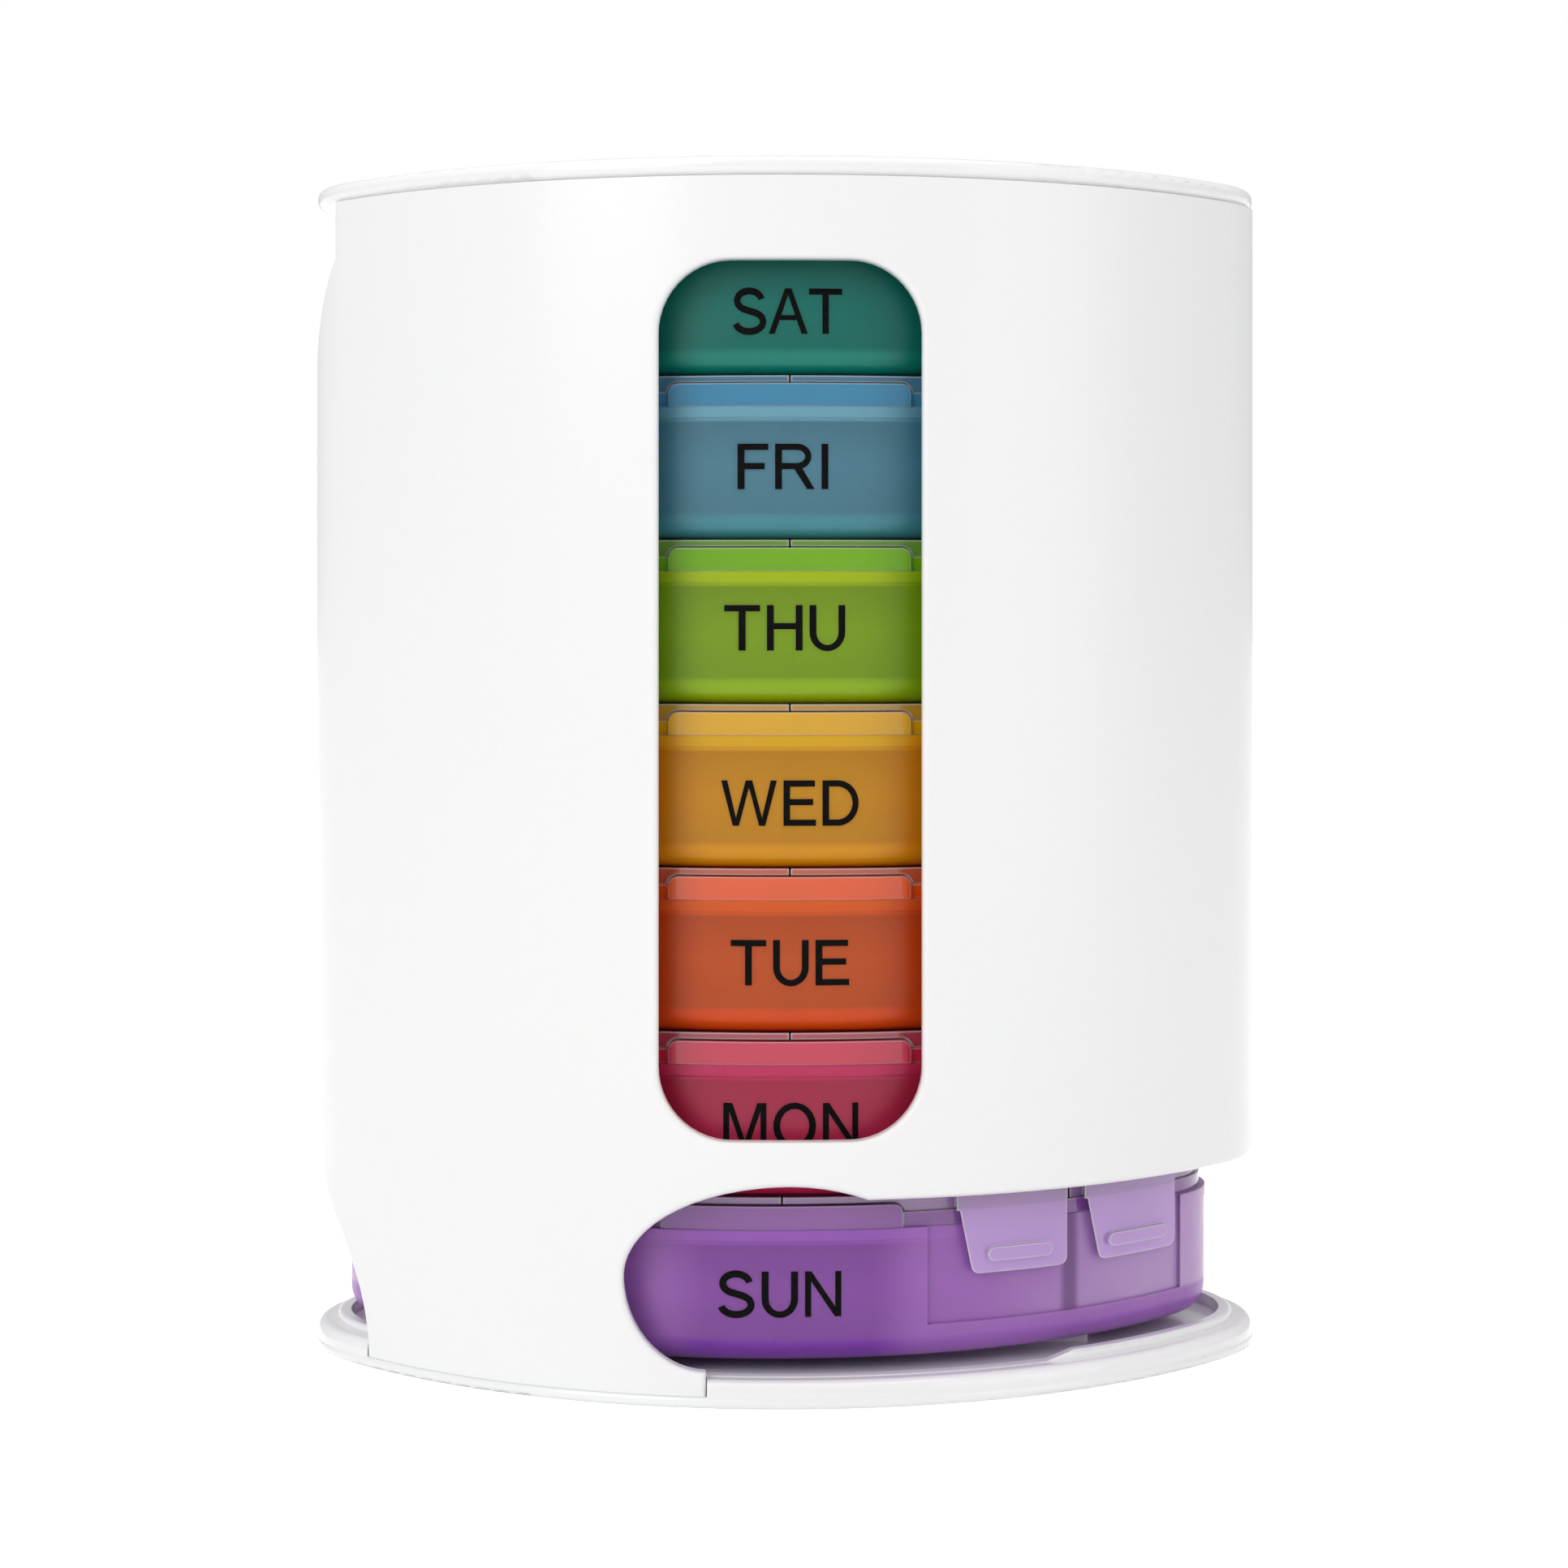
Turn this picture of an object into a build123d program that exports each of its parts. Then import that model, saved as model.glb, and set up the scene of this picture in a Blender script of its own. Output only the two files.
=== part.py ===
"""Weekly pill drawer organizer: a lens-shaped tower that holds seven stacked day trays.

The bottom tray slides out to the right (+X), the others lift out at the top.
Frame: millimetres, +Z up, origin on the ground under the middle, front face towards -Y.
"""
import math
import os
from build123d import *

# ---- driving dimensions: plan of the tower ----
HOUSING_WIDTH = 116.0
HOUSING_DEPTH = 74.0
FACE_RADIUS = 70.0          # curve of the front and back faces
WALL = 2.0                  # housing wall

# ---- heights ----
FLANGE_HEIGHT = 1.3         # the housing stands on this
RIM_HEIGHT = 3.1            # rim of the base where it is bare
LIP_HEIGHT = 4.0            # raised lip of the base, level with its runners
LOW_LIP_HEIGHT = 3.2        # the lip in front of the thumb opening
RECESS_FLOOR = 2.6
COVER_THICKNESS = 2.3
HEADROOM = 3.4              # above the top tray, under the cover

# ---- base ----
BASE_OVERHANG = 0.15        # flange of the base past the housing
FLANGE_ROUND = 0.5
RIM_ROUND = 1.3
LIP_WIDTH = 1.6
LIP_ROUND = 0.5
LIP_START = 2.6             # from the housing face to the outside of the lip
LOW_LIP_LEFT = -10.7
LOW_LIP_RIGHT = 29.9
LIP_RAMP = 3.2
RUNNER_WIDTH = 4.0
RUNNER_LENGTH = 72.0
RUNNER_SPACING = 26.0
UNDERSIDE_MARGIN = 6.0
UNDERSIDE_DEPTH = 0.8
FOOT_CLEARANCE = 0.1

# ---- trays ----
DAYS = ("sun", "mon", "tue", "wed", "thu", "fri", "sat")
TRAY_GAP = 5.1              # housing face to tray face
TRAY_HEIGHT = 15.3
TRAY_WALL = 1.7
BOTTOM_SHIFT = -0.9         # the bottom tray stands this far to the left of the others
TRAY_FLOOR = 1.6
TRAY_ROUND = 3.0
RIM_BAND = 1.3
RIM_STEP = 0.12
DIVIDER = 1.4
DIVIDER_OFFSET = 34.0
DIVIDER_DROP = 1.2
POCKET_ROUND = 2.4
PANEL_DEPTH = 0.45
PANEL_START = 16.8          # on the side that shows in the thumb opening
FAR_PANEL_START = 21.0      # on the other side
PANEL_END = 48.7
PANEL_BOTTOM = 4.0

# ---- clear lid frame and flip lids ----
DECK = 1.7
FRAME_STEP = 0.15           # the centre block stands this far inside the tray face
DECK_STEP = 0.6             # the deck stands this far inside the tray face
PLUG_DROP = 0.9
PLUG_WALL = 1.0
FIT = 0.15
SEAT = 1.8                  # width of the deck that a lid lies on
BLOCK_WIDTH = 28.0
BLOCK_DEPTH = 2.6
BLOCK_DROP = 0.9            # top of the centre block below the lid tops
BLOCK_ROUND = 1.2
LID_THICKNESS = 1.9
LID_STEP = 1.0              # lid edge inside the tray face
LID_GAP = 0.2               # between neighbouring lids
TAB_ROOT = 2.2              # how far a tab's root reaches in over its lid
INNER_HINGE_Y = 19.0
OUTER_HINGE_Y = 8.5
OUTER_HINGE_END = 47.0
BARREL_RADIUS = 0.8
PIN_RADIUS = 0.5
PIN_FIT = 0.1
LUG_WIDTH = 1.6
LUG_LENGTH = 3.0
INNER_TAB = (20.2, 33.6)
FAR_INNER_TAB = (22.0, 33.6)
OUTER_TAB = (35.8, 47.8)
TAB_THICKNESS = 0.9
TAB_TAPER = 1.9             # the inner edge of a tab leans by this much
TAB_BOTTOM = 9.6
TAB_ROUND = 1.0
RIDGE_LENGTH = 7.8
RIDGE_HEIGHT = 1.6
RIDGE_PROUD = 0.5
RIDGE_LEVEL = 11.8

# ---- housing openings ----
WINDOW_WIDTH = 30.0
WINDOW_BOTTOM = 30.2
WINDOW_TOP = 130.2
WINDOW_ROUND = 8.2
EXIT_HEIGHT = 23.5          # lower edge of the housing above the tray exit
THUMB_LEFT = -19.0
THUMB_MIDDLE = 14.4
HUMP_TOP = 25.1
HUMP_RIGHT = 8.8
THUMB_FOOT = -9.6
REAR_FOOT_RIGHT = 19.0
REAR_EDGE = -30.0
SIDE_EDGE_Y = 2.0
SHOULDER_X = -54.6
SHOULDER_Z = 132.8
SIDE_FULL_TOP = 113.0
SIDE_FULL_BOTTOM = 31.0
SIDE_FOOT_X = -50.0
CORNER_ROUND = 6.0
EDGE_ROUND = 0.6            # at most a third of the wall
GUIDE_X = 50.5
REAR_GUIDE_X = 25.0
GUIDE_WIDTH = 1.4
GUIDE_FIT = 0.5
GUIDE_BOTTOM = 34.0
GUIDE_TOP = 126.0

# ---- cover ----
COVER_STEP = 0.1            # cover rim inside the housing face
COVER_ROUND = 1.05
SKIRT_FIT = 0.3
SKIRT_WALL = 1.3
SKIRT_DROP = 3.9
DISH_MARGIN = 3.6
DISH_DEPTH = 0.7

# ---- worked out from the driving dimensions ----
HALF_WIDTH = HOUSING_WIDTH / 2
HALF_DEPTH = HOUSING_DEPTH / 2
FACE_OFFSET = FACE_RADIUS - HALF_DEPTH
RADIUS_SPARE = FACE_RADIUS - HALF_WIDTH
END_OFFSET = (FACE_OFFSET ** 2 - RADIUS_SPARE ** 2) / (2 * RADIUS_SPARE)
END_RADIUS = HALF_WIDTH - END_OFFSET
TRAY_PITCH = TRAY_HEIGHT + DECK + LID_THICKNESS
STACK_TOP = LIP_HEIGHT + len(DAYS) * TRAY_PITCH
HOUSING_TOP = STACK_TOP + HEADROOM
DECK_TOP = TRAY_HEIGHT + DECK
HINGE_LEVEL = DECK_TOP + BARREL_RADIUS
FAR = HOUSING_WIDTH         # reach of cutting tools, past any piece
TOUCHING = 0.001            # closer than this counts as on a face


def lens(inset):
    """Plan outline of the tower, moved inward by inset: two face arcs and two end arcs."""
    reach = math.hypot(END_OFFSET, FACE_OFFSET)
    join_x = END_OFFSET / reach * (FACE_RADIUS - inset)
    join_y = FACE_OFFSET / reach * (FACE_RADIUS - inset) - FACE_OFFSET
    side = HALF_WIDTH - inset
    face = HALF_DEPTH - inset
    front = ThreePointArc((-join_x, -join_y), (0, -face), (join_x, -join_y))
    right = ThreePointArc((join_x, -join_y), (side, 0), (join_x, join_y))
    back = ThreePointArc((join_x, join_y), (0, face), (-join_x, join_y))
    left = ThreePointArc((-join_x, join_y), (-side, 0), (-join_x, -join_y))
    return make_face([front, right, back, left])


def slab(inset, low, high):
    """Solid of the plan outline between two heights."""
    return Pos(0, 0, low) * extrude(lens(inset), high - low)


def ring(outer, inner, low, high):
    """Wall that follows the plan outline between two insets."""
    return slab(outer, low, high) - slab(inner, low, high)


def block(x_low, x_high, y_low, y_high, z_low, z_high):
    """Box between two corners."""
    corner = Pos(x_low, y_low, z_low)
    size = (x_high - x_low, y_high - y_low, z_high - z_low)
    return corner * Box(*size, align=(Align.MIN, Align.MIN, Align.MIN))


def front_cutter(outline):
    """Prism of an outline in X and Z, from the middle of the tower out through its front."""
    return extrude(Plane.XZ * outline, FAR)


def mirrored(shape):
    """The same shape on the other side of the tower's middle."""
    return mirror(shape, about=Plane.YZ)


def bottom_edges(shape):
    return shape.edges().group_by(Axis.Z)[0]


def top_edges(shape):
    return shape.edges().group_by(Axis.Z)[-1]


# ---- day tray ----

def tray_panel(low, high):
    """Cut for the shallow front panels in which the lid tabs hang, on both sides of the middle."""
    panel = ring(0, TRAY_GAP + PANEL_DEPTH, low, high)
    near = panel & block(PANEL_START, PANEL_END, -FAR, 0, low, high)
    return near + (panel & block(-PANEL_END, -FAR_PANEL_START, -FAR, 0, low, high))


def tray_pockets():
    """The four pill pockets, rounded at the floor."""
    pocket_top = TRAY_HEIGHT - DIVIDER_DROP
    inner = slab(TRAY_GAP + TRAY_WALL, TRAY_FLOOR, pocket_top)
    walls = [-FAR, -DIVIDER_OFFSET, 0, DIVIDER_OFFSET, FAR]
    pockets = []
    for left, right in zip(walls, walls[1:]):
        span = block(left + DIVIDER / 2, right - DIVIDER / 2, -FAR, FAR, TRAY_FLOOR, pocket_top)
        pocket = inner & span
        pockets.append(fillet(bottom_edges(pocket), POCKET_ROUND))
    return pockets


def day_tray():
    """Coloured tray with four pockets, a stepped rim band and a rounded foot."""
    body = slab(TRAY_GAP, 0, TRAY_HEIGHT)
    body = fillet(bottom_edges(body), TRAY_ROUND)
    band_low = TRAY_HEIGHT - RIM_BAND
    body += ring(TRAY_GAP - RIM_STEP, TRAY_GAP + TRAY_WALL, band_low, TRAY_HEIGHT)
    for pocket in tray_pockets():
        body -= pocket
    body -= slab(TRAY_GAP + TRAY_WALL, TRAY_HEIGHT - DIVIDER_DROP, TRAY_HEIGHT)
    return body - tray_panel(PANEL_BOTTOM, TRAY_HEIGHT)


# ---- clear lid frame ----

def hinge_lugs(hinge):
    """Two lugs with bores that carry the pins of one lid."""
    y, left, right = hinge
    lugs = []
    for low in (left - FIT - LUG_WIDTH, right + FIT):
        lug = block(low, low + LUG_WIDTH, y - LUG_LENGTH / 2, y + LUG_LENGTH / 2, DECK_TOP, TRAY_PITCH)
        bore = Pos(low + LUG_WIDTH / 2, y, HINGE_LEVEL) * Rot(0, 90, 0)
        lugs.append(lug - bore * Cylinder(PIN_RADIUS + PIN_FIT, 2 * LUG_WIDTH))
    return lugs[0] + lugs[1]


def deck_opening(left, right, hinge_y):
    """Mouth of one pocket in the deck, with a seat left round it for the lid."""
    margin = TRAY_GAP + TRAY_WALL + FIT + PLUG_WALL
    seat = DIVIDER / 2 + SEAT
    rear = hinge_y - LUG_LENGTH / 2 - SEAT
    mouth = slab(margin, 0, DECK_TOP)
    return mouth & block(left + seat, right - seat, -FAR, rear, 0, DECK_TOP)


def centre_block(clearance):
    """Raised block in the middle of the front, rounded at its two top corners."""
    top = TRAY_PITCH - BLOCK_DROP + clearance
    width = BLOCK_WIDTH + 2 * clearance
    outline = Pos(0, top - width / 2) * RectangleRounded(width, width, BLOCK_ROUND)
    raised = slab(TRAY_GAP + FRAME_STEP - clearance, TRAY_HEIGHT, top) & front_cutter(outline)
    rear = BLOCK_DEPTH + clearance - (HALF_DEPTH - TRAY_GAP)
    return raised & block(-FAR, FAR, -FAR, rear, TRAY_HEIGHT, top)


INNER_HINGE = (INNER_HINGE_Y, LUG_WIDTH + 4 * FIT + LID_GAP, DIVIDER_OFFSET - LUG_WIDTH - 4 * FIT)
OUTER_HINGE = (OUTER_HINGE_Y, DIVIDER_OFFSET + LUG_WIDTH + 4 * FIT, OUTER_HINGE_END - LUG_WIDTH - FIT)


def lid_frame():
    """Clear deck that plugs into a tray and carries its four lids."""
    deck = slab(TRAY_GAP + DECK_STEP, TRAY_HEIGHT, DECK_TOP)
    plug_out = TRAY_GAP + TRAY_WALL + FIT
    deck += ring(plug_out, plug_out + PLUG_WALL, TRAY_HEIGHT - PLUG_DROP, TRAY_HEIGHT)
    mouths = deck_opening(0, DIVIDER_OFFSET, INNER_HINGE_Y)
    mouths += deck_opening(DIVIDER_OFFSET, FAR, OUTER_HINGE_Y)
    deck -= mouths + mirrored(mouths)
    deck -= tray_panel(TRAY_HEIGHT, DECK_TOP)
    deck += centre_block(0)
    lugs = hinge_lugs(INNER_HINGE) + hinge_lugs(OUTER_HINGE)
    return deck + lugs + mirrored(lugs)


# ---- flip lids ----

def lid_plate(left, right, hinge_y):
    """Flat lid over one pocket, notched round the centre block."""
    rear = hinge_y - LUG_LENGTH / 2 - FIT
    span = block(left + LID_GAP / 2, right - LID_GAP / 2, -FAR, rear, DECK_TOP, TRAY_PITCH)
    plate = slab(TRAY_GAP + LID_STEP, DECK_TOP, TRAY_PITCH) & span
    return plate - centre_block(FIT)


def tab_outline(left, right):
    """Front view of a tab: a leaning inner edge and two rounded lower corners."""
    corners = [(left, TRAY_PITCH), (left + TAB_TAPER, TAB_BOTTOM), (right, TAB_BOTTOM), (right, TRAY_PITCH)]
    edge = FilletPolyline(*corners, radius=TAB_ROUND)
    return make_face([*edge.edges(), Line(corners[3], corners[0])])


def lid_tab(left, right):
    """Front tab that hangs in the tray's panel, with a rounded finger ridge."""
    inner = TRAY_GAP + PANEL_DEPTH - FIT
    outer = inner - TAB_THICKNESS
    middle = (left + TAB_TAPER + right) / 2
    tab = ring(outer, inner, TAB_BOTTOM, TRAY_PITCH) & front_cutter(tab_outline(left, right))
    root = ring(outer, TRAY_GAP + LID_STEP + TAB_ROOT, DECK_TOP, TRAY_PITCH)
    root &= block(left, right, -FAR, 0, DECK_TOP, TRAY_PITCH)
    stadium = Pos(middle, RIDGE_LEVEL) * SlotOverall(RIDGE_LENGTH, RIDGE_HEIGHT)
    ridge_low = RIDGE_LEVEL - RIDGE_HEIGHT
    ridge = ring(outer - RIDGE_PROUD, inner, ridge_low, RIDGE_LEVEL + RIDGE_HEIGHT)
    return tab + root + (ridge & front_cutter(stadium))


def lid_hinge(hinge):
    """Barrel on the rear of a lid, the neck that holds it and a thin pin at each end."""
    y, left, right = hinge
    length = right - left
    axis = Pos((left + right) / 2, y, HINGE_LEVEL) * Rot(0, 90, 0)
    barrel = axis * Cylinder(BARREL_RADIUS, length)
    pin = axis * Cylinder(PIN_RADIUS, length + 2 * (FIT + LUG_WIDTH))
    front = y - LUG_LENGTH / 2 - 2 * FIT
    neck = block(left, right, front, y, HINGE_LEVEL, DECK_TOP + 2 * BARREL_RADIUS)
    return barrel + pin + neck


def flip_lid(left, right, hinge, tab):
    return lid_plate(left, right, hinge[0]) + lid_tab(*tab) + lid_hinge(hinge)


def flip_lids():
    """The four lids of a tray, from left to right."""
    far_inner = flip_lid(0, DIVIDER_OFFSET, INNER_HINGE, FAR_INNER_TAB)
    inner = flip_lid(0, DIVIDER_OFFSET, INNER_HINGE, INNER_TAB)
    outer = flip_lid(DIVIDER_OFFSET, FAR, OUTER_HINGE, OUTER_TAB)
    return [mirrored(outer), mirrored(far_inner), inner, outer]


# ---- housing ----

def window_cut():
    height = WINDOW_TOP - WINDOW_BOTTOM
    middle = (WINDOW_TOP + WINDOW_BOTTOM) / 2
    return front_cutter(Pos(0, middle) * RectangleRounded(WINDOW_WIDTH, height, WINDOW_ROUND))


def thumb_cut():
    """Opening at the bottom front: a thumb bay at its left end, then straight on to the right."""
    below = -FLANGE_HEIGHT
    bay_height = HUMP_TOP - THUMB_MIDDLE
    centre = (0, THUMB_MIDDLE)
    hump = TangentArc((0, HUMP_TOP), (HUMP_RIGHT, EXIT_HEIGHT), tangent=(1, 0))
    bay = EllipticalCenterArc(centre, -THUMB_LEFT, bay_height, start_angle=90, arc_size=90)
    foot_reach, foot_drop = THUMB_FOOT - THUMB_LEFT, THUMB_MIDDLE - LIP_HEIGHT
    foot_centre = (THUMB_FOOT, THUMB_MIDDLE)
    foot = EllipticalCenterArc(foot_centre, foot_reach, foot_drop, start_angle=180, arc_size=90)
    corners = [(THUMB_FOOT, LIP_HEIGHT), (THUMB_FOOT, below), (FAR, below)]
    rest = Polyline(*corners, (FAR, EXIT_HEIGHT), (HUMP_RIGHT, EXIT_HEIGHT))
    return front_cutter(make_face([hump, bay, foot, *rest.edges()]))


def exit_cut():
    """Way out for the bottom tray, right round the right side of the housing."""
    below = -FLANGE_HEIGHT
    start, corner, end = (REAR_FOOT_RIGHT, below), (REAR_FOOT_RIGHT, EXIT_HEIGHT), (FAR, EXIT_HEIGHT)
    edge = FilletPolyline(start, corner, end, radius=CORNER_ROUND)
    rest = Polyline(end, (FAR, below), start)
    return extrude(Plane.XZ * make_face([*edge.edges(), *rest.edges()]), FAR, both=True)


def side_cut():
    """Free edge at the left: open behind the side, drawn in at the shoulder and at the foot."""
    top = HOUSING_TOP + WALL
    side = -HALF_WIDTH - BASE_OVERHANG
    foot = Spline((side, SIDE_FULL_BOTTOM), (SIDE_FOOT_X, FLANGE_HEIGHT), tangents=[(0, -1), (0, -1)])
    below = Polyline((SIDE_FOOT_X, FLANGE_HEIGHT), (SIDE_FOOT_X, 0), (-FAR, 0), (-FAR, SIDE_FULL_BOTTOM),
                     (side, SIDE_FULL_BOTTOM))
    shoulder = Spline((side, SIDE_FULL_TOP), (SHOULDER_X, SHOULDER_Z), tangents=[(0, 1), (1, 2)])
    above = Polyline((SHOULDER_X, SHOULDER_Z), (SHOULDER_X, top), (-FAR, top), (-FAR, SIDE_FULL_TOP),
                     (side, SIDE_FULL_TOP))
    cut = front_cutter(make_face([foot, *below.edges()]))
    cut += front_cutter(make_face([shoulder, *above.edges()]))
    behind = block(-FAR, REAR_EDGE, SIDE_EDGE_Y, FAR, 0, top)
    return Pos(0, SIDE_EDGE_Y, 0) * cut + behind


def guide_ribs():
    """Upright ribs inside the wall that keep the stack in the middle."""
    wall = ring(WALL / 2, TRAY_GAP - RIM_STEP - GUIDE_FIT, GUIDE_BOTTOM, GUIDE_TOP)
    half = GUIDE_WIDTH / 2
    ribs = None
    for x, y_low, y_high in ((-GUIDE_X, -FAR, 0), (GUIDE_X, -FAR, 0), (GUIDE_X, 0, FAR),
                             (-REAR_GUIDE_X, 0, FAR), (REAR_GUIDE_X, 0, FAR)):
        rib = wall & block(x - half, x + half, y_low, y_high, GUIDE_BOTTOM, GUIDE_TOP)
        ribs = rib if ribs is None else ribs + rib
    return ribs


def on_face(point):
    """True where a point lies on the outer face of the housing, away from where its arcs join."""
    x, y = abs(point.X), abs(point.Y)
    join_x = END_OFFSET / math.hypot(END_OFFSET, FACE_OFFSET) * FACE_RADIUS
    if x < join_x - TOUCHING:
        return abs(math.hypot(x, y + FACE_OFFSET) - FACE_RADIUS) < TOUCHING
    return x > join_x + TOUCHING and abs(math.hypot(x - END_OFFSET, y) - END_RADIUS) < TOUCHING


def opening_edges(shell):
    """Edges on the outer face that run round the openings, without the wall's top and foot."""
    found = []
    for edge in shell.edges():
        points = [edge.position_at(share) for share in (0.1, 0.5, 0.9)]
        level = FLANGE_HEIGHT + TOUCHING < points[1].Z < HOUSING_TOP - TOUCHING
        if level and all(on_face(point) for point in points):
            found.append(edge)
    return found


def housing_shell():
    """White wall of the tower with its window, tray exit, open left rear and guide ribs."""
    shell = ring(0, WALL, FLANGE_HEIGHT, HOUSING_TOP) + guide_ribs()
    shell = shell - window_cut() - thumb_cut() - exit_cut() - side_cut()
    return fillet(opening_edges(shell), EDGE_ROUND)


# ---- base and cover ----

def low_lip_cut():
    """The lip is lower in front of the thumb opening and ramps up at both ends."""
    left, right = LOW_LIP_LEFT, LOW_LIP_RIGHT
    top = LIP_HEIGHT + RIM_HEIGHT
    rise = (top - LOW_LIP_HEIGHT) / (LIP_HEIGHT - LOW_LIP_HEIGHT) * LIP_RAMP
    corners = [(left, LOW_LIP_HEIGHT), (right, LOW_LIP_HEIGHT), (right + rise, top), (left - rise, top)]
    return front_cutter(make_face(Polyline(*corners, close=True)))


def foot_channels():
    """Seats of the housing's front and rear feet."""
    ledge = ring(-HALF_DEPTH, WALL + FOOT_CLEARANCE, FLANGE_HEIGHT, HALF_DEPTH)
    play = FOOT_CLEARANCE
    front = block(SIDE_FOOT_X - play, THUMB_FOOT + play, -FAR, 0, 0, HALF_DEPTH)
    rear = block(REAR_EDGE - play, REAR_FOOT_RIGHT + play, 0, FAR, 0, HALF_DEPTH)
    return (ledge & front) + (ledge & rear)


def base_plate():
    """Plate with a rounded rim, a raised lip, and a recess with two runners for the bottom tray."""
    flange = slab(-BASE_OVERHANG, 0, FLANGE_HEIGHT)
    flange = fillet(bottom_edges(flange) + top_edges(flange), FLANGE_ROUND)
    rim = slab(0, FLANGE_ROUND, RIM_HEIGHT)
    plate = flange + fillet(top_edges(rim), RIM_ROUND)
    lip = slab(LIP_START, RECESS_FLOOR, LIP_HEIGHT)
    plate += fillet(top_edges(lip), LIP_ROUND)
    recess = slab(LIP_START + LIP_WIDTH, RECESS_FLOOR, LIP_HEIGHT)
    plate -= recess
    plate -= low_lip_cut()
    plate -= foot_channels()
    half = RUNNER_LENGTH / 2
    for y in (-RUNNER_SPACING / 2, RUNNER_SPACING / 2):
        low, high = y - RUNNER_WIDTH / 2, y + RUNNER_WIDTH / 2
        plate += block(-half, half, low, high, RECESS_FLOOR, LIP_HEIGHT)
    return plate - slab(UNDERSIDE_MARGIN, 0, UNDERSIDE_DEPTH)


def top_cover():
    """Dished cover with a rounded rim and a skirt that plugs into the housing."""
    top = HOUSING_TOP + COVER_THICKNESS
    cover = slab(COVER_STEP, HOUSING_TOP, top)
    cover = fillet(top_edges(cover) + bottom_edges(cover), COVER_ROUND)
    skirt = WALL + SKIRT_FIT
    cover += ring(skirt, skirt + SKIRT_WALL, HOUSING_TOP - SKIRT_DROP, HOUSING_TOP + DISH_DEPTH)
    dish = slab(DISH_MARGIN, top - DISH_DEPTH, top)
    return cover - dish


def save(shape, name):
    export_step(shape, f"parts/{name}.step")


os.makedirs("parts", exist_ok=True)
save(housing_shell(), "housing_shell")
save(base_plate(), "base_plate")
save(top_cover(), "top_cover")
tray = day_tray()
frame = lid_frame()
lids = flip_lids()
for level, day in enumerate(DAYS):
    place = Pos(BOTTOM_SHIFT if level == 0 else 0, 0, LIP_HEIGHT + level * TRAY_PITCH)
    save(place * tray, f"{day}_tray")
    save(place * frame, f"{day}_lid_frame")
    for number, lid in enumerate(lids, start=1):
        save(place * lid, f"{day}_lid_{number}")
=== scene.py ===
import math
import bpy
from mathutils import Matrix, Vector


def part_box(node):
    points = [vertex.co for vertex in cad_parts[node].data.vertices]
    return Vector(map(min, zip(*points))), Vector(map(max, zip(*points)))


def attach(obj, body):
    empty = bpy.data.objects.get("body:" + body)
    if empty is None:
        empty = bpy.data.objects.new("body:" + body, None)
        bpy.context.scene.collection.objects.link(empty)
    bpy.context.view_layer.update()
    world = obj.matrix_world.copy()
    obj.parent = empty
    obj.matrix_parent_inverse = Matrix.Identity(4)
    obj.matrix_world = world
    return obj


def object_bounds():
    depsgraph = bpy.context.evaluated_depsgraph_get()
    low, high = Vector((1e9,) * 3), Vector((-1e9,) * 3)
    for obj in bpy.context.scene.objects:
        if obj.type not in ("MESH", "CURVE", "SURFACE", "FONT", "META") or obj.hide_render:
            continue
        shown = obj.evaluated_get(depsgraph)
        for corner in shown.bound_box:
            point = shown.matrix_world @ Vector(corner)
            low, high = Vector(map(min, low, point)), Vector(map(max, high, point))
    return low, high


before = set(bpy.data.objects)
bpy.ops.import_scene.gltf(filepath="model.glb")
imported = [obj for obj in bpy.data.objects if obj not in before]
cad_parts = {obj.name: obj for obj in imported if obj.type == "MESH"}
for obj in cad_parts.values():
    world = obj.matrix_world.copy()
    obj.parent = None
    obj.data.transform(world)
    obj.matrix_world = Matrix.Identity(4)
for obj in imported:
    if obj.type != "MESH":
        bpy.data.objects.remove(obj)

CAD_LOW, CAD_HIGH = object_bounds()
MM = 0.001


def srgb(red, green, blue):
    """Linear colour of a screen colour given from 0 to 255."""
    channels = [channel / 255 for channel in (red, green, blue)]
    return tuple(c / 12.92 if c <= 0.04045 else ((c + 0.055) / 1.055) ** 2.4 for c in channels)


def shade(colour, factor):
    return tuple(min(1.0, channel * factor) for channel in colour)


def lightened(colour, share):
    """Colour taken towards white by a share of the way."""
    return tuple(channel + (1 - channel) * share for channel in colour)


# ---- sizes of the tower that its looks follow, in metres ----
FACE_CENTRE_Y = 33.0 * MM       # axis of the front face's arc
TRAY_RIM_STEP = 0.12 * MM       # rim band proud of the tray's face
TRAY_HEIGHT = 15.3 * MM
POCKETS = 4                     # pockets of a tray, each with its own lid
DIVIDER_OFFSET = 34.0 * MM      # outer dividers from the tray's middle
PANEL_BOTTOM = 4.0 * MM         # foot of the shallow front panels above the tray's foot

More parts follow.
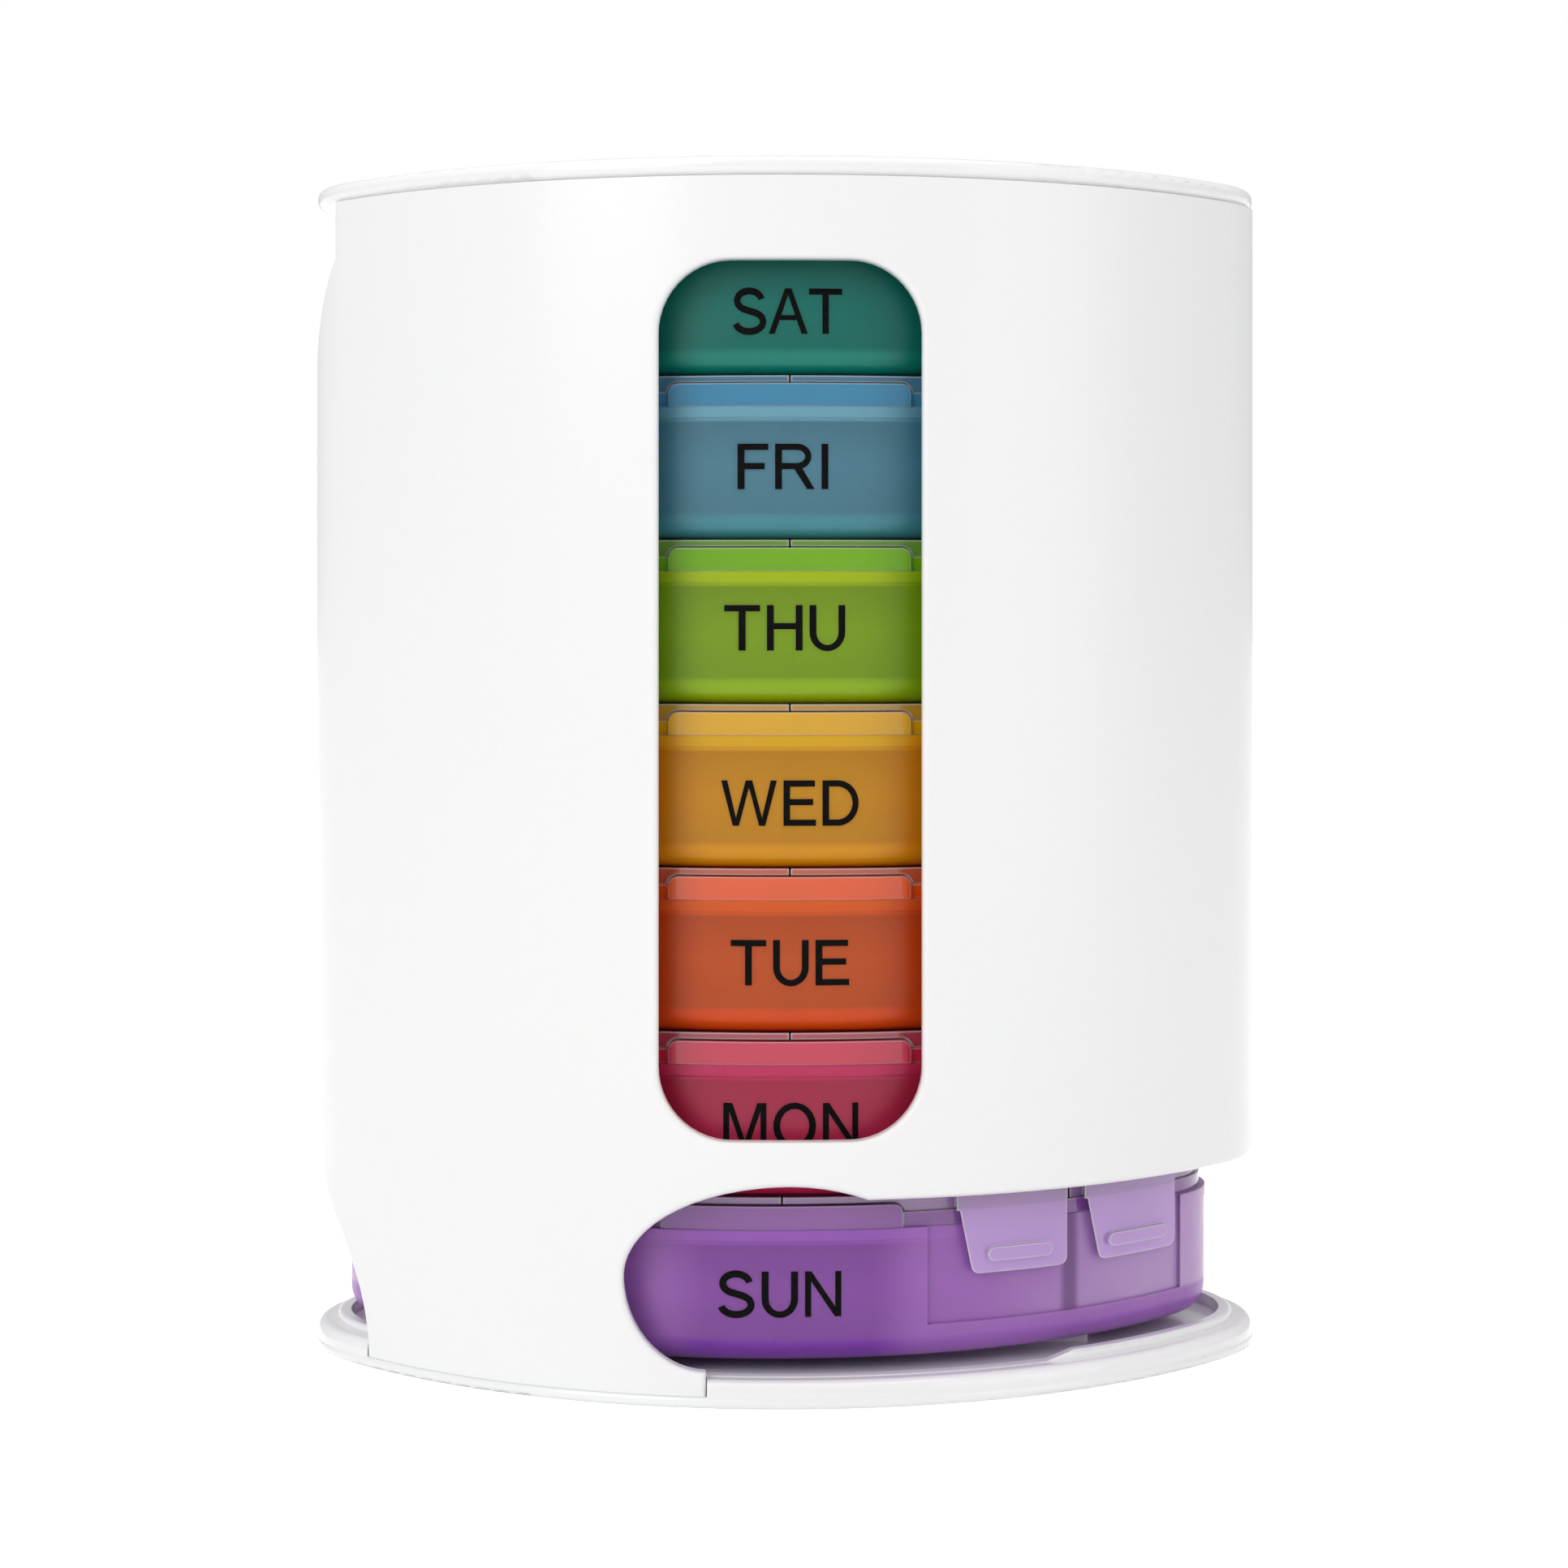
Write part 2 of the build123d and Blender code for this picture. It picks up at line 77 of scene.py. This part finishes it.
# ---- a day's colours: its tray's face, rim, foot and ends, then the tint of its clear frame and lids ----
# the foot and rim colours are brighter with painted light through the plastic's thickness
PALETTE = {
    "sun": (srgb(150, 86, 178), srgb(172, 104, 206), srgb(146, 70, 192),
            srgb(192, 132, 216), srgb(148, 88, 172)),
    "mon": (srgb(190, 44, 84), srgb(214, 56, 108), srgb(212, 36, 84),
            srgb(180, 20, 58), srgb(214, 40, 78)),
    "tue": (srgb(206, 88, 26), srgb(244, 104, 32), srgb(246, 88, 8),
            srgb(204, 62, 2), srgb(240, 88, 16)),
    "wed": (srgb(212, 148, 20), srgb(246, 186, 30), srgb(244, 170, 8),
            srgb(216, 126, 1), srgb(236, 178, 2)),
    "thu": (srgb(136, 172, 22), srgb(182, 208, 14), srgb(164, 204, 8),
            srgb(120, 160, 3), srgb(126, 190, 14)),
    "fri": (srgb(90, 142, 162), srgb(126, 186, 206), srgb(82, 162, 176),
            srgb(66, 130, 154), srgb(72, 150, 190)),
    "sat": (srgb(20, 126, 114), srgb(28, 146, 132), srgb(6, 150, 130),
            srgb(3, 112, 98), srgb(22, 140, 126)),
}
LID_LIT_TINT = {"sun": srgb(216, 176, 240)}     # lids that show outside the housing get a lighter tint than their frame: painted light
WHITE = (0.92, 0.92, 0.92)

# ---- where a tray's wall changes colour, with painted light and shade ----
# share of the tray's height, which of its colours is there, and how bright: the bright foot and rim bands
# and the lift in the middle are painted light through the plastic, the darker foot edge and the dip under
# the rim painted shade
TRAY_BANDS = [(0.0, "foot", 0.8), (0.09, "foot", 1.0), (0.15, "foot", 1.0), (0.21, "face", 1.0),
              (0.55, "face", 1.12), (0.88, "face", 0.94), (0.905, "rim", 1.0), (1.0, "rim", 1.1)]
END_SHARE = 0.6                             # how far the ends go to their own deeper colour, which in the window also stands for painted shade from the housing's edges
END_START, END_FULL = 9 * MM, 16 * MM       # distances along X from the tower's middle
PANEL_START, PANEL_FULL = 18 * MM, 46 * MM  # likewise, where the panels let light through
PANEL_FOOT_BLUR = 0.3 * MM
STRIP_CORE, STRIP_EDGE = 0.4 * MM, 1.5 * MM     # half widths of the painted shade strip over a divider

# ---- surfaces ----
NOISE_DETAIL = 3.0
NOISE_LOW, NOISE_HIGH = 0.3, 0.7    # the range that noise seldom leaves
MOULD_RADIUS = 0.25 * MM            # how soft every moulded edge looks
MOULD_SAMPLES = 6
GRAIN_STRENGTH = 0.25
GLOW_RADIUS = 0.45 * MM             # how far the painted highlight at a clear piece's edge reaches
GLOW_SAMPLES = 8
FLAT_LIKENESS, EDGE_LIKENESS = 0.995, 0.86      # real normal against rounded one, off and at an edge


# ---- node helpers ----

def new_material(name):
    """Empty node material with a shader and an output."""
    material = bpy.data.materials.new(name)
    material.use_nodes = True
    tree = material.node_tree
    tree.nodes.clear()
    shader = tree.nodes.new("ShaderNodeBsdfPrincipled")
    output = tree.nodes.new("ShaderNodeOutputMaterial")
    tree.links.new(shader.outputs["BSDF"], output.inputs["Surface"])
    return material, tree, shader


def set_values(shader, values):
    """Puts plain values on the shader's own sockets."""
    for name, value in values.items():
        shader.inputs[name].default_value = value


def calculate(tree, operation, first, second=0.0):
    """Output of one math node, from an output and a second output or a number."""
    node = tree.nodes.new("ShaderNodeMath")
    node.operation = operation
    tree.links.new(first, node.inputs[0])
    if isinstance(second, float):
        node.inputs[1].default_value = second
    else:
        tree.links.new(second, node.inputs[1])
    return node.outputs[0]


def mixed(tree, factor, first, second):
    """Colour between first and second by a factor output, each of them an output or a plain colour."""
    node = tree.nodes.new("ShaderNodeMix")
    node.data_type = "RGBA"
    tree.links.new(factor, node.inputs["Factor"])
    for name, source in (("A", first), ("B", second)):
        if isinstance(source, tuple):
            node.inputs[name].default_value = (*source, 1)
        else:
            tree.links.new(source, node.inputs[name])
    return node.outputs["Result"]


def noise(tree, scale):
    """Noise in the row frame, scale in features per metre."""
    place = tree.nodes.new("ShaderNodeTexCoord")
    texture = tree.nodes.new("ShaderNodeTexNoise")
    texture.inputs["Scale"].default_value = scale
    texture.inputs["Detail"].default_value = NOISE_DETAIL
    tree.links.new(place.outputs["Object"], texture.inputs["Vector"])
    return texture.outputs["Fac"]


def uneven(tree, scale, low, high):
    """Value that wanders between low and high, scale in features per metre."""
    node = tree.nodes.new("ShaderNodeMapRange")
    node.inputs["From Min"].default_value = NOISE_LOW
    node.inputs["From Max"].default_value = NOISE_HIGH
    node.inputs["To Min"].default_value = low
    node.inputs["To Max"].default_value = high
    tree.links.new(noise(tree, scale), node.inputs["Value"])
    return node.outputs["Result"]


def spread(tree, value, start, end):
    """Value as a share of the way from start to end, eased at both."""
    node = tree.nodes.new("ShaderNodeMapRange")
    node.interpolation_type = "SMOOTHSTEP"
    node.inputs["From Min"].default_value = start
    node.inputs["From Max"].default_value = end
    tree.links.new(value, node.inputs["Value"])
    return node.outputs["Result"]


def place_in_row(tree):
    """X and Z of a point in the row frame."""
    place = tree.nodes.new("ShaderNodeTexCoord")
    split = tree.nodes.new("ShaderNodeSeparateXYZ")
    tree.links.new(place.outputs["Object"], split.inputs[0])
    return split.outputs["X"], split.outputs["Z"]


def moulded_surface(tree, shader, grain_scale, grain_height):
    """Fine moulding grain over softly rounded edges."""
    edge = tree.nodes.new("ShaderNodeBevel")
    edge.samples = MOULD_SAMPLES
    edge.inputs["Radius"].default_value = MOULD_RADIUS
    bump = tree.nodes.new("ShaderNodeBump")
    bump.inputs["Strength"].default_value = GRAIN_STRENGTH
    bump.inputs["Distance"].default_value = grain_height
    tree.links.new(noise(tree, grain_scale), bump.inputs["Height"])
    tree.links.new(edge.outputs["Normal"], bump.inputs["Normal"])
    tree.links.new(bump.outputs["Normal"], shader.inputs["Normal"])


# ---- materials ----

def white_plastic(name, colour, roughness, coat):
    """White moulding with a little depth under its surface."""
    material, tree, shader = new_material(name)
    mottle = uneven(tree, 25, 0, 1)
    tree.links.new(mixed(tree, mottle, colour, shade(colour, 0.995)), shader.inputs["Base Color"])
    tree.links.new(uneven(tree, 60, roughness, roughness + 0.02), shader.inputs["Roughness"])
    set_values(shader, {"Subsurface Weight": 0.1, "Subsurface Scale": 1.0 * MM,
                        "Coat Weight": coat, "Coat Roughness": 0.12})
    moulded_surface(tree, shader, 2600, 0.003 * MM)
    return material


def height_bands(tree, tray_foot, colours):
    """Colour of a tray by height, with painted light and shade: painted light over the floor's thickness and
    at the rim, painted shade at the pockets.
    """
    _, z = place_in_row(tree)
    level = tree.nodes.new("ShaderNodeMapRange")
    level.inputs["From Min"].default_value = tray_foot
    level.inputs["From Max"].default_value = tray_foot + TRAY_HEIGHT
    tree.links.new(z, level.inputs["Value"])
    ramp = tree.nodes.new("ShaderNodeValToRGB")
    elements = ramp.color_ramp.elements
    while len(elements) < len(TRAY_BANDS):
        elements.new(0.5)
    for element, (position, name, brightness) in zip(elements, TRAY_BANDS):
        element.position = position
        element.color = (*shade(colours[name], brightness), 1)
    tree.links.new(level.outputs["Result"], ramp.inputs["Fac"])
    return ramp.outputs["Color"]


def over_panel(tree, share, panel_foot):
    """A share as it is above the foot of the front panels, and none below it."""
    _, z = place_in_row(tree)
    height = spread(tree, z, panel_foot - PANEL_FOOT_BLUR, panel_foot + PANEL_FOOT_BLUR)
    return calculate(tree, "MULTIPLY", share, height)


def divider_shade_strip(tree, away, middle, panel_foot):
    """Painted shade where a divider between two pockets stands behind the wall's panel, as a soft dark
    strip.
    """
    distance = calculate(tree, "ABSOLUTE", calculate(tree, "SUBTRACT", away, DIVIDER_OFFSET + middle))
    return over_panel(tree, spread(tree, distance, STRIP_EDGE, STRIP_CORE), panel_foot)


def panel_share(tree, away, panel_foot):
    """How far the thinner wall of a front panel lets light through, more towards the tray's end."""
    return over_panel(tree, spread(tree, away, PANEL_START, PANEL_FULL), panel_foot)


def tray_plastic(day):
    """Frosted translucent coloured moulding, with painted shade where its pockets are and over its dividers,
    painted light through its thin panels, and ends deeper from their own tone and painted shade.
    """
    material, tree, shader = new_material(f"{day}_plastic")
    face, rim, foot, ends, _ = PALETTE[day]
    low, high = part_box(f"{day}_tray")
    panel_foot = low[2] + PANEL_BOTTOM
    x, _ = place_in_row(tree)
    away = calculate(tree, "ABSOLUTE", x)
    mottle = uneven(tree, 120, 0, 1)
    wall = height_bands(tree, low[2], {"face": face, "rim": rim, "foot": foot})
    # Deeper colour towards the ends: the tray's own tone there, with painted shade from the housing's window
    # edges.
    at_end = calculate(tree, "MULTIPLY", spread(tree, away, END_START, END_FULL), END_SHARE)
    wall = mixed(tree, at_end, wall, mixed(tree, mottle, ends, shade(ends, 1.1)))
    # Paler where the thin front panels are: painted light through the wall.
    panel_light = mixed(tree, mottle, lightened(ends, 0.2), lightened(ends, 0.28))
    wall = mixed(tree, panel_share(tree, away, panel_foot), wall, panel_light)
    # Painted shade: a soft dark strip where each divider stands behind the panel.
    dark = mixed(tree, mottle, shade(ends, 0.5), shade(ends, 0.55))
    strip = divider_shade_strip(tree, away, (low[0] + high[0]) / 2, panel_foot)
    tree.links.new(mixed(tree, strip, wall, dark), shader.inputs["Base Color"])
    tree.links.new(uneven(tree, 400, 0.28, 0.38), shader.inputs["Roughness"])
    set_values(shader, {"Transmission Weight": 0.3, "IOR": 1.49, "Specular IOR Level": 0.25,
                        "Subsurface Weight": 0.5, "Subsurface Radius": (1.0, 1.0, 1.0),
                        "Subsurface Scale": 2.5 * MM})
    moulded_surface(tree, shader, 2200, 0.006 * MM)
    return material


def edge_share(tree):
    """How near a point is to a sharp edge, from 0 on the flat to 1 at the edge."""
    rounded = tree.nodes.new("ShaderNodeBevel")
    rounded.samples = GLOW_SAMPLES
    rounded.inputs["Radius"].default_value = GLOW_RADIUS
    flat = tree.nodes.new("ShaderNodeNewGeometry")
    likeness = tree.nodes.new("ShaderNodeVectorMath")
    likeness.operation = "DOT_PRODUCT"
    tree.links.new(rounded.outputs["Normal"], likeness.inputs[0])
    tree.links.new(flat.outputs["Normal"], likeness.inputs[1])
    return spread(tree, likeness.outputs["Value"], FLAT_LIKENESS, EDGE_LIKENESS)


def clear_plastic(name, tint, edge_highlight, roughness, transmission):
    """Clear polished moulding with the tray's tint in it, and a painted highlight along its edges."""
    material, tree, shader = new_material(name)
    mottle = uneven(tree, 70, 0, 1)
    flat = mixed(tree, mottle, tint, shade(tint, 1.08))
    tree.links.new(mixed(tree, edge_share(tree), flat, edge_highlight), shader.inputs["Base Color"])
    tree.links.new(uneven(tree, 300, roughness, roughness + 0.04), shader.inputs["Roughness"])
    set_values(shader, {"Transmission Weight": transmission, "IOR": 1.46,
                        "Coat Weight": 0.35, "Coat Roughness": 0.04})
    moulded_surface(tree, shader, 1600, 0.004 * MM)
    return material


def printed_ink():
    """Black pad-printed ink, slightly uneven."""
    material, tree, shader = new_material("printed_ink")
    mottle = uneven(tree, 2500, 0, 1)
    ink, worn = (0.002, 0.002, 0.002), (0.006, 0.006, 0.006)
    tree.links.new(mixed(tree, mottle, ink, worn), shader.inputs["Base Color"])
    tree.links.new(uneven(tree, 1500, 0.55, 0.7), shader.inputs["Roughness"])
    set_values(shader, {"Specular IOR Level": 0.05})
    return material


def give(node, material):
    """One material on the whole of a carried-over solid."""
    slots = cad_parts[node].data.materials
    slots.clear()
    slots.append(material)


def finish_solids():
    """Materials of the housing, its cover and base, and of every day's tray, clear frame and lids."""
    gloss_white = white_plastic("white_gloss_moulding", WHITE, roughness=0.16, coat=0.3)
    give("housing_shell", white_plastic("white_moulding", WHITE, roughness=0.28, coat=0.1))
    give("top_cover", gloss_white)
    give("base_plate", gloss_white)
    for day, (_, _, _, _, tint) in PALETTE.items():
        give(f"{day}_tray", tray_plastic(day))
        # The frame's edges get a lighter tint: a painted highlight.
        clear = clear_plastic(f"{day}_clear", tint, lightened(tint, 0.35), roughness=0.10, transmission=0.25)
        give(f"{day}_lid_frame", clear)
        # The lids get a lighter copy of the tint as painted light, and a near-white painted highlight along
        # their edges.
        lit_lid_tint = LID_LIT_TINT.get(day, lightened(tint, 0.06))
        lid_edge_highlight = lightened(lit_lid_tint, 0.9)
        lid = clear_plastic(f"{day}_lid_clear", lit_lid_tint, lid_edge_highlight, roughness=0.04, transmission=0.45)
        for number in range(1, POCKETS + 1):
            give(f"{day}_lid_{number}", lid)


# ---- day lettering: outlines in cap heights, upright strokes STEM wide and level ones BAR high ----
STEM = 0.15
BAR = 0.135
ROUND_STEPS = 20


def arc(centre, reach, start, end):
    """Points of an elliptical arc between two angles in degrees."""
    points = []
    for step in range(ROUND_STEPS + 1):
        angle = math.radians(start + (end - start) * step / ROUND_STEPS)
        points.append((centre[0] + reach[0] * math.cos(angle), centre[1] + reach[1] * math.sin(angle)))
    return points


def ribbon(path, width):
    """Closed outline of a stroke of even width along a path."""
    left, right = [], []
    for index, (x, y) in enumerate(path):
        before, after = path[max(index - 1, 0)], path[min(index + 1, len(path) - 1)]
        along = Vector((after[0] - before[0], after[1] - before[1])).normalized() * width / 2
        left.append((x - along.y, y + along.x))
        right.append((x + along.y, y - along.x))
    return left + right[::-1]


def letter_a():
    outside = [(0, 0), (0.388, 1), (0.538, 1), (0.93, 0), (0.782, 0), (0.668, 0.303), (0.256, 0.303),
               (0.144, 0)]
    return [outside, [(0.296, 0.412), (0.628, 0.412), (0.461, 0.868)]]


def letter_d():
    outside = [(0, 0)] + arc((0.36, 0.5), (0.48, 0.5), -90, 90) + [(0, 1)]
    inside = arc((0.35, 0.5), (0.35, 0.5 - BAR), -90, 90)
    return [outside, [(STEM, BAR)] + inside + [(STEM, 1 - BAR)]]


def letter_e():
    middle, top = 0.455, 1 - BAR
    return [[(0, 0), (0, 1), (0.725, 1), (0.725, top), (STEM, top), (STEM, middle + BAR),
             (0.685, middle + BAR), (0.685, middle), (STEM, middle), (STEM, BAR), (0.75, BAR), (0.75, 0)]]


def letter_f():
    middle, top = 0.44, 1 - BAR
    return [[(0, 0), (0, 1), (0.68, 1), (0.68, top), (STEM, top), (STEM, middle + BAR),
             (0.6, middle + BAR), (0.6, middle), (STEM, middle), (STEM, 0)]]


def letter_h():
    middle, far = 0.47, 0.785
    return [[(0, 0), (0, 1), (STEM, 1), (STEM, middle + BAR), (far - STEM, middle + BAR), (far - STEM, 1),
             (far, 1), (far, 0), (far - STEM, 0), (far - STEM, middle), (STEM, middle), (STEM, 0)]]


def letter_i():
    return [[(0, 0), (0, 1), (STEM, 1), (STEM, 0)]]


def letter_m():
    return [[(0, 0), (0, 1), (0.2, 1), (0.48, 0.175), (0.76, 1), (0.96, 1), (0.96, 0), (0.832, 0),
             (0.832, 0.83), (0.545, 0), (0.415, 0), (0.128, 0.83), (0.128, 0)]]


def letter_n():
    return [[(0, 0), (0, 1), (0.138, 1), (0.66, 0.215), (0.66, 1), (0.79, 1), (0.79, 0), (0.652, 0),
             (0.13, 0.786), (0.13, 0)]]


def letter_o():
    centre = (0.478, 0.5)
    return [arc(centre, (0.478, 0.515), 0, 342), arc(centre, (0.478 - STEM, 0.515 - BAR), 0, 342)]


def letter_r():
    outside = [(0, 0), (0, 1)] + arc((0.5, 0.72), (0.305, 0.28), 90, -70)
    outside += [(0.88, 0), (0.712, 0), (0.43, 0.44), (STEM, 0.44), (STEM, 0)]
    inside = arc((0.48, 0.72), (0.19, 0.28 - BAR), 90, -90)
    return [outside, [(STEM, 1 - BAR)] + inside + [(STEM, 0.44 + BAR)]]


def letter_s():
    upper = arc((0.4, 0.735), (0.29, 0.212), 8, 245)
    lower = arc((0.4, 0.268), (0.33, 0.218), 65, -168)
    return [ribbon(upper + lower, STEM)]


def letter_t():
    left, far, top = (0.79 - STEM) / 2, 0.79, 1 - BAR
    return [[(0, top), (0, 1), (far, 1), (far, top), (left + STEM, top), (left + STEM, 0), (left, 0),
             (left, top)]]


def letter_u():
    middle, level = 0.395, 0.4
    outside = arc((middle, level), (middle, level + 0.015), 180, 360)
    inside = arc((middle, level), (middle - STEM, level + 0.015 - BAR), 360, 180)
    return [[(0, 1)] + outside + [(2 * middle, 1), (2 * middle - STEM, 1)] + inside + [(STEM, 1)]]


def letter_w():
    return [[(0, 1), (0.138, 1), (0.342, 0.17), (0.57, 1), (0.72, 1), (0.948, 0.17), (1.152, 1), (1.29, 1),
             (1.02, 0), (0.88, 0), (0.645, 0.85), (0.41, 0), (0.27, 0)]]


LETTERS = {"A": letter_a, "D": letter_d, "E": letter_e, "F": letter_f, "H": letter_h, "I": letter_i,
           "M": letter_m, "N": letter_n, "O": letter_o, "R": letter_r, "S": letter_s, "T": letter_t,
           "U": letter_u, "W": letter_w}
LETTER_SPACE = 0.155            # between two letters, in cap heights
TIGHT_PAIRS = {("A", "T"): 0.03, ("S", "A"): 0.06}
CAP_HEIGHT = 5.2 * MM
INK_DEPTH = 0.06 * MM           # how far the ink reaches to each side of the face

# word: its width, its shift along X, its middle above the tray's foot, all in millimetres
WORDS = {"SUN": (14.2, -0.3, 8.0), "MON": (15.5, 0.1, 8.4), "TUE": (13.6, 0.0, 8.2),
         "WED": (15.8, 0.0, 7.6), "THU": (13.9, -0.6, 8.8), "FRI": (10.4, -0.8, 8.4),
         "SAT": (12.6, -0.3, 7.3)}


def word_curve(word):
    """Filled flat curve of a word, its letters side by side from X 0."""
    curve = bpy.data.curves.new(f"{word}_curve", "CURVE")
    curve.dimensions = "2D"
    curve.fill_mode = "BOTH"
    curve.extrude = 0.5
    start, previous = 0.0, None
    for letter in word:
        if previous:
            start += TIGHT_PAIRS.get((previous, letter), LETTER_SPACE)
        outlines = LETTERS[letter]()
        for outline in outlines:
            spline = curve.splines.new("POLY")
            spline.points.add(len(outline) - 1)
            for point, (x, y) in zip(spline.points, outline):
                point.co = (start + x, y, 0, 1)
            spline.use_cyclic_u = True
        start += max(x for x, _ in outlines[0])
        previous = letter
    return curve, start


def flat_letters(word, width):
    """Mesh of a word, centred, at its real height and width."""
    curve, length = word_curve(word)
    holder = bpy.data.objects.new(f"{word}_holder", curve)
    bpy.context.collection.objects.link(holder)
    bpy.context.view_layer.update()
    mesh = bpy.data.meshes.new_from_object(holder)
    bpy.data.objects.remove(holder)
    for vertex in mesh.vertices:
        x, y, depth = vertex.co
        vertex.co = ((x / length - 0.5) * width, (y - 0.5) * CAP_HEIGHT, 2 * depth * INK_DEPTH)
    return mesh


def wrap_on_tray(mesh, radius, middle_x, middle_z):
    """Bends flat letters round the tray's front face."""
    for vertex in mesh.vertices:
        across, up, depth = vertex.co
        angle = across / radius
        reach = radius + depth
        x = middle_x + reach * math.sin(angle)
        y = FACE_CENTRE_Y - reach * math.cos(angle)
        vertex.co = (x, y, middle_z + up)


def add_lettering():
    """One word of ink on the front of each tray, which moves with its drawer."""
    ink = printed_ink()
    for word, (width, shift, level) in WORDS.items():
        day = word.lower()
        low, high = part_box(f"{day}_tray")
        radius = FACE_CENTRE_Y - low[1] - TRAY_RIM_STEP
        mesh = flat_letters(word, width * MM)
        wrap_on_tray(mesh, radius, (low[0] + high[0]) / 2 + shift * MM, low[2] + level * MM)
        mesh.name = f"{day}_lettering"
        mesh.materials.append(ink)
        label = bpy.data.objects.new(f"{day}_lettering", mesh)
        bpy.context.collection.objects.link(label)
        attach(label, f"{day}_drawer")


# ---- stage, in metres and watts ----
FLOOR_SIZE = 12.0
FLOOR_COLOUR = (0.85, 0.85, 0.85, 1)
FLOOR_GLOW = 0.8                # white that the camera and reflections see on the floor
WORLD_LIGHT = 0.60              # how strongly the white surroundings light the object

# lamp: its place, its width and height, its power
LAMPS = {"key_left": ((-0.55, -0.75, 0.55), (0.5, 0.7), 3.2),
         "fill_right": ((0.8, -0.6, 0.35), (0.6, 0.8), 1.4),
         "top": ((0.0, -0.05, 0.9), (0.7, 0.5), 2.0)}


def white_for_camera(tree, surface, strength):
    """Adds white to a shader, for the camera and for reflections only."""
    path = tree.nodes.new("ShaderNodeLightPath")
    seen = calculate(tree, "MAXIMUM", path.outputs["Is Camera Ray"], path.outputs["Is Glossy Ray"])
    glow = tree.nodes.new("ShaderNodeEmission")
    tree.links.new(calculate(tree, "MULTIPLY", seen, strength), glow.inputs["Strength"])
    added = tree.nodes.new("ShaderNodeAddShader")
    tree.links.new(surface, added.inputs[0])
    tree.links.new(glow.outputs[0], added.inputs[1])
    return added.outputs[0]


def add_floor():
    """Plain white floor that keeps the soft shadow under the tower."""
    bpy.ops.mesh.primitive_plane_add(size=FLOOR_SIZE, location=(0, 0, CAD_LOW[2]))
    floor = bpy.context.object
    floor.name = "studio_floor"
    material = bpy.data.materials.new("studio_floor")
    material.use_nodes = True
    tree = material.node_tree
    tree.nodes.clear()
    diffuse = tree.nodes.new("ShaderNodeBsdfDiffuse")
    diffuse.inputs["Color"].default_value = FLOOR_COLOUR
    output = tree.nodes.new("ShaderNodeOutputMaterial")
    surface = white_for_camera(tree, diffuse.outputs[0], FLOOR_GLOW)
    tree.links.new(surface, output.inputs["Surface"])
    floor.data.materials.append(material)


def add_world():
    """Even white surroundings, plain white behind the object."""
    world = bpy.data.worlds.new("studio")
    bpy.context.scene.world = world
    world.use_nodes = True
    tree = world.node_tree
    tree.nodes.clear()
    path = tree.nodes.new("ShaderNodeLightPath")
    seen = calculate(tree, "MAXIMUM", path.outputs["Is Camera Ray"], path.outputs["Is Transmission Ray"])
    strength = tree.nodes.new("ShaderNodeMapRange")
    strength.inputs["To Min"].default_value = WORLD_LIGHT
    strength.inputs["To Max"].default_value = 1.0
    tree.links.new(seen, strength.inputs["Value"])
    background = tree.nodes.new("ShaderNodeBackground")
    background.inputs["Color"].default_value = (1, 1, 1, 1)
    tree.links.new(strength.outputs["Result"], background.inputs["Strength"])
    output = tree.nodes.new("ShaderNodeOutputWorld")
    tree.links.new(background.outputs[0], output.inputs["Surface"])


def add_lamp(name, place, size, power):
    """Soft area lamp aimed at the middle of the tower."""
    lamp = bpy.data.lights.new(name, "AREA")
    lamp.shape = "RECTANGLE"
    lamp.size, lamp.size_y = size
    lamp.energy = power
    holder = bpy.data.objects.new(name, lamp)
    bpy.context.collection.objects.link(holder)
    holder.location = place
    aim = (CAD_LOW + CAD_HIGH) / 2 - Vector(place)
    holder.rotation_euler = aim.to_track_quat("-Z", "Y").to_euler()


def add_studio():
    """Floor, white surroundings and the soft lamps."""
    add_floor()
    add_world()
    for name, (place, size, power) in LAMPS.items():
        add_lamp(name, place, size, power)


# ---- camera: level, at the photograph's height and distance ----
PHOTO_SIZE = 1932               # pixels each way
FOCAL_PIXELS = 4000
HORIZON_ROW = 737               # pixel row at the camera's height
CAMERA_HEIGHT = 91.8 * MM
CAMERA_DISTANCE = 404.0 * MM
CAMERA_AZIMUTH = -0.9           # degrees from straight in front
OBJECT_COLUMN = 968             # pixel column of the tower's middle
SENSOR = 36.0                   # millimetres
CLIP_NEAR, CLIP_FAR = 0.01, 50


def add_camera():
    """The photograph's camera."""
    camera = bpy.data.cameras.new("photo_camera")
    camera.sensor_width = SENSOR
    camera.lens = FOCAL_PIXELS / PHOTO_SIZE * SENSOR
    camera.shift_y = (HORIZON_ROW - PHOTO_SIZE / 2) / PHOTO_SIZE
    camera.shift_x = (PHOTO_SIZE / 2 - OBJECT_COLUMN) / PHOTO_SIZE
    camera.clip_start, camera.clip_end = CLIP_NEAR, CLIP_FAR
    holder = bpy.data.objects.new("photo_camera", camera)
    bpy.context.collection.objects.link(holder)
    turn = math.radians(CAMERA_AZIMUTH)
    away = (math.sin(turn) * CAMERA_DISTANCE, -math.cos(turn) * CAMERA_DISTANCE)
    holder.location = (*away, CAMERA_HEIGHT)
    holder.rotation_euler = (math.radians(90), 0, turn)
    bpy.context.scene.camera = holder


add_camera()
finish_solids()
add_lettering()
add_studio()
bpy.context.scene.view_settings.view_transform = "Standard"
